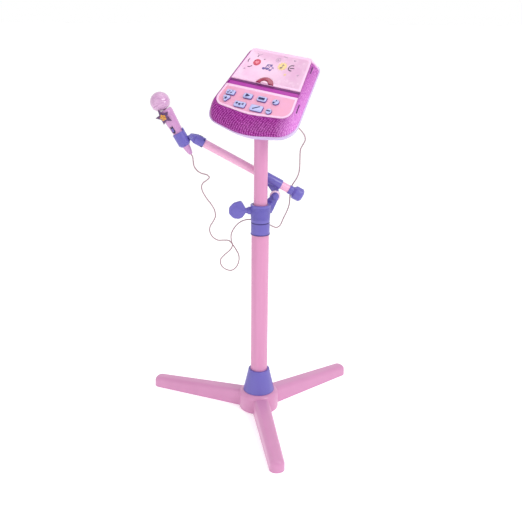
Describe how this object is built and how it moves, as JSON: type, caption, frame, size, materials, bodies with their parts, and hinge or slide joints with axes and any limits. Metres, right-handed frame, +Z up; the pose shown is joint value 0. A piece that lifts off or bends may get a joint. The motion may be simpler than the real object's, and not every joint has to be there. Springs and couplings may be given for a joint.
{
  "type": "toy karaoke stand",
  "caption": "Child's karaoke stand: a slanted music console on a height-adjustable pole, with a side boom and clip for a corded toy microphone, on a splayed-leg base.",
  "frame": {"origin": "on the floor at the pole's axis", "axes": "+Z up the pole; -Y out along the front leg; +X to the player's right"},
  "size_m": [0.4542, 0.3975, 0.7663],
  "materials": {
    "pink_plastic": "satin moulded pink plastic",
    "pink_tube": "gloss pink plastic tube",
    "purple_plastic": "satin moulded purple plastic",
    "panel_pale": "gloss pale pink face",
    "panel_pink": "gloss pink face",
    "fuchsia": "dotted fuchsia grille",
    "lilac": "satin lilac plastic",
    "lavender": "satin lavender plastic",
    "dome_red": "clear red lamp lens",
    "badge": "metallised purple-grey plastic",
    "amber": "amber jewel",
    "cord": "soft pinkish cord sheath",
    "steel": "plated steel",
    "nylon": "natural nylon",
    "board": "green circuit board",
    "black_plastic": "black plastic",
    "cell": "dark printed battery jacket"
  },
  "bodies": {
    "stand": {"base_hub": "pink_plastic", "leg_front": "pink_plastic", "leg_right": "pink_plastic", "leg_left": "pink_plastic", "hub_plate": "pink_plastic", "base_screws": "steel", "base_cone": "purple_plastic", "lower_tube": "pink_tube", "tube_sleeve": "purple_plastic", "clamp_collar": "purple_plastic", "guide_bush": "nylon", "pivot_bolt": "steel", "mic_cord_low": "cord"},
    "knob": {"lock_knob": "purple_plastic", "lock_screw": "steel"},
    "boom_holder": {"boom_sleeve": "purple_plastic", "pivot_washer": "panel_pale"},
    "boom": {"boom_tube": "pink_tube", "boom_cap": "purple_plastic", "clip_socket": "purple_plastic", "clip_pin": "steel"},
    "clip": {"mic_clip": "purple_plastic"},
    "microphone": {"mic_shell_front": "pink_plastic", "mic_shell_back": "pink_plastic", "mic_head": "pink_plastic", "mic_capsule": "steel", "mic_badge": "badge", "mic_jewel": "amber", "mic_boot": "cord"},
    "mic_slider": {"mic_switch": "purple_plastic"},
    "upper_mast": {"upper_tube": "pink_tube", "tube_foot": "nylon", "mic_cord_mid": "cord"},
    "console": {"pole_socket": "purple_plastic", "console_bottom": "lilac", "console_rim": "lilac", "console_body": "fuchsia", "top_panel": "panel_pale", "button_panel": "panel_pink", "dome_lens": "dome_red", "dome_core": "panel_pale", "key_board": "board", "tact_switches": "black_plastic", "main_board": "board", "speaker": "black_plastic", "batteries": "cell", "battery_contacts": "steel", "battery_door": "lilac", "console_screws": "steel", "cord_gland": "cord", "mic_cord_top": "cord"},
    "power": {"power_slider": "purple_plastic"},
    "key_1": {"button_1": "lavender"},
    "key_2": {"button_2": "lavender"},
    "key_3": {"button_3": "lavender"},
    "key_4": {"button_4": "lavender"},
    "key_5": {"button_5": "lavender"},
    "key_6": {"button_6": "lavender"},
    "key_7": {"button_7": "lavender"},
    "key_8": {"button_8": "lavender"}
  },
  "joints": [
    {"name": "knob_turn", "type": "hinge", "parent": "stand", "child": "knob", "pos_m": [-0.02967, 0.00443, 0.4505], "axis": [0.989, -0.1478, 0], "range_deg": [-90, 90]},
    {"name": "boom_tilt", "type": "hinge", "parent": "stand", "child": "boom_holder", "pos_m": [0.03425, 0.02622, 0.475], "axis": [0.1478, 0.989, 0], "range_deg": [-12, 12]},
    {"name": "boom_slide", "type": "slide", "parent": "boom_holder", "child": "boom", "axis": [0.8708, -0.1301, -0.4741], "range_m": [-0.012, 0.03]},
    {"name": "clip_tilt", "type": "hinge", "parent": "boom", "child": "clip", "pos_m": [-0.13436, 0.05142, 0.59564], "axis": [0.1478, 0.989, 0], "range_deg": [-20, 20], "deforming": ["mic_cord_low"]},
    {"name": "mic_lift", "type": "slide", "parent": "clip", "child": "microphone", "axis": [-0.49, 0.0732, 0.8686], "range_m": [0, 0.06]},
    {"name": "mic_switch_slide", "type": "slide", "parent": "microphone", "child": "mic_slider", "axis": [-0.49, 0.0732, 0.8686], "range_m": [0, 0.004]},
    {"name": "height_slide", "type": "slide", "parent": "stand", "child": "upper_mast", "axis": [0, 0, 1], "range_m": [-0.06, 0]},
    {"name": "console_swivel", "type": "hinge", "parent": "upper_mast", "child": "console", "pos_m": [0, 0, 0.62], "axis": [0, 0, 1], "range_deg": [-30, 30]},
    {"name": "power_slide", "type": "slide", "parent": "console", "child": "power", "axis": [0.7869, -0.6038, -0.1271], "range_m": [0, 0.004]},
    {"name": "press_1", "type": "slide", "parent": "console", "child": "key_1", "axis": [0.3504, 0.6068, -0.7135], "range_m": [0, 0.0015], "stiffness_N_per_m": 400, "springref_m": -0.0003},
    {"name": "press_2", "type": "slide", "parent": "console", "child": "key_2", "axis": [0.3504, 0.6068, -0.7135], "range_m": [0, 0.0015], "stiffness_N_per_m": 400, "springref_m": -0.0003},
    {"name": "press_3", "type": "slide", "parent": "console", "child": "key_3", "axis": [0.3504, 0.6068, -0.7135], "range_m": [0, 0.0015], "stiffness_N_per_m": 400, "springref_m": -0.0003},
    {"name": "press_4", "type": "slide", "parent": "console", "child": "key_4", "axis": [0.3504, 0.6068, -0.7135], "range_m": [0, 0.0015], "stiffness_N_per_m": 400, "springref_m": -0.0003},
    {"name": "press_5", "type": "slide", "parent": "console", "child": "key_5", "axis": [0.3504, 0.6068, -0.7135], "range_m": [0, 0.0015], "stiffness_N_per_m": 400, "springref_m": -0.0003},
    {"name": "press_6", "type": "slide", "parent": "console", "child": "key_6", "axis": [0.3504, 0.6068, -0.7135], "range_m": [0, 0.0015], "stiffness_N_per_m": 400, "springref_m": -0.0003},
    {"name": "press_7", "type": "slide", "parent": "console", "child": "key_7", "axis": [0.3504, 0.6068, -0.7135], "range_m": [0, 0.0015], "stiffness_N_per_m": 400, "springref_m": -0.0003},
    {"name": "press_8", "type": "slide", "parent": "console", "child": "key_8", "axis": [0.3504, 0.6068, -0.7135], "range_m": [0, 0.0015], "stiffness_N_per_m": 400, "springref_m": -0.0003}
  ]
}
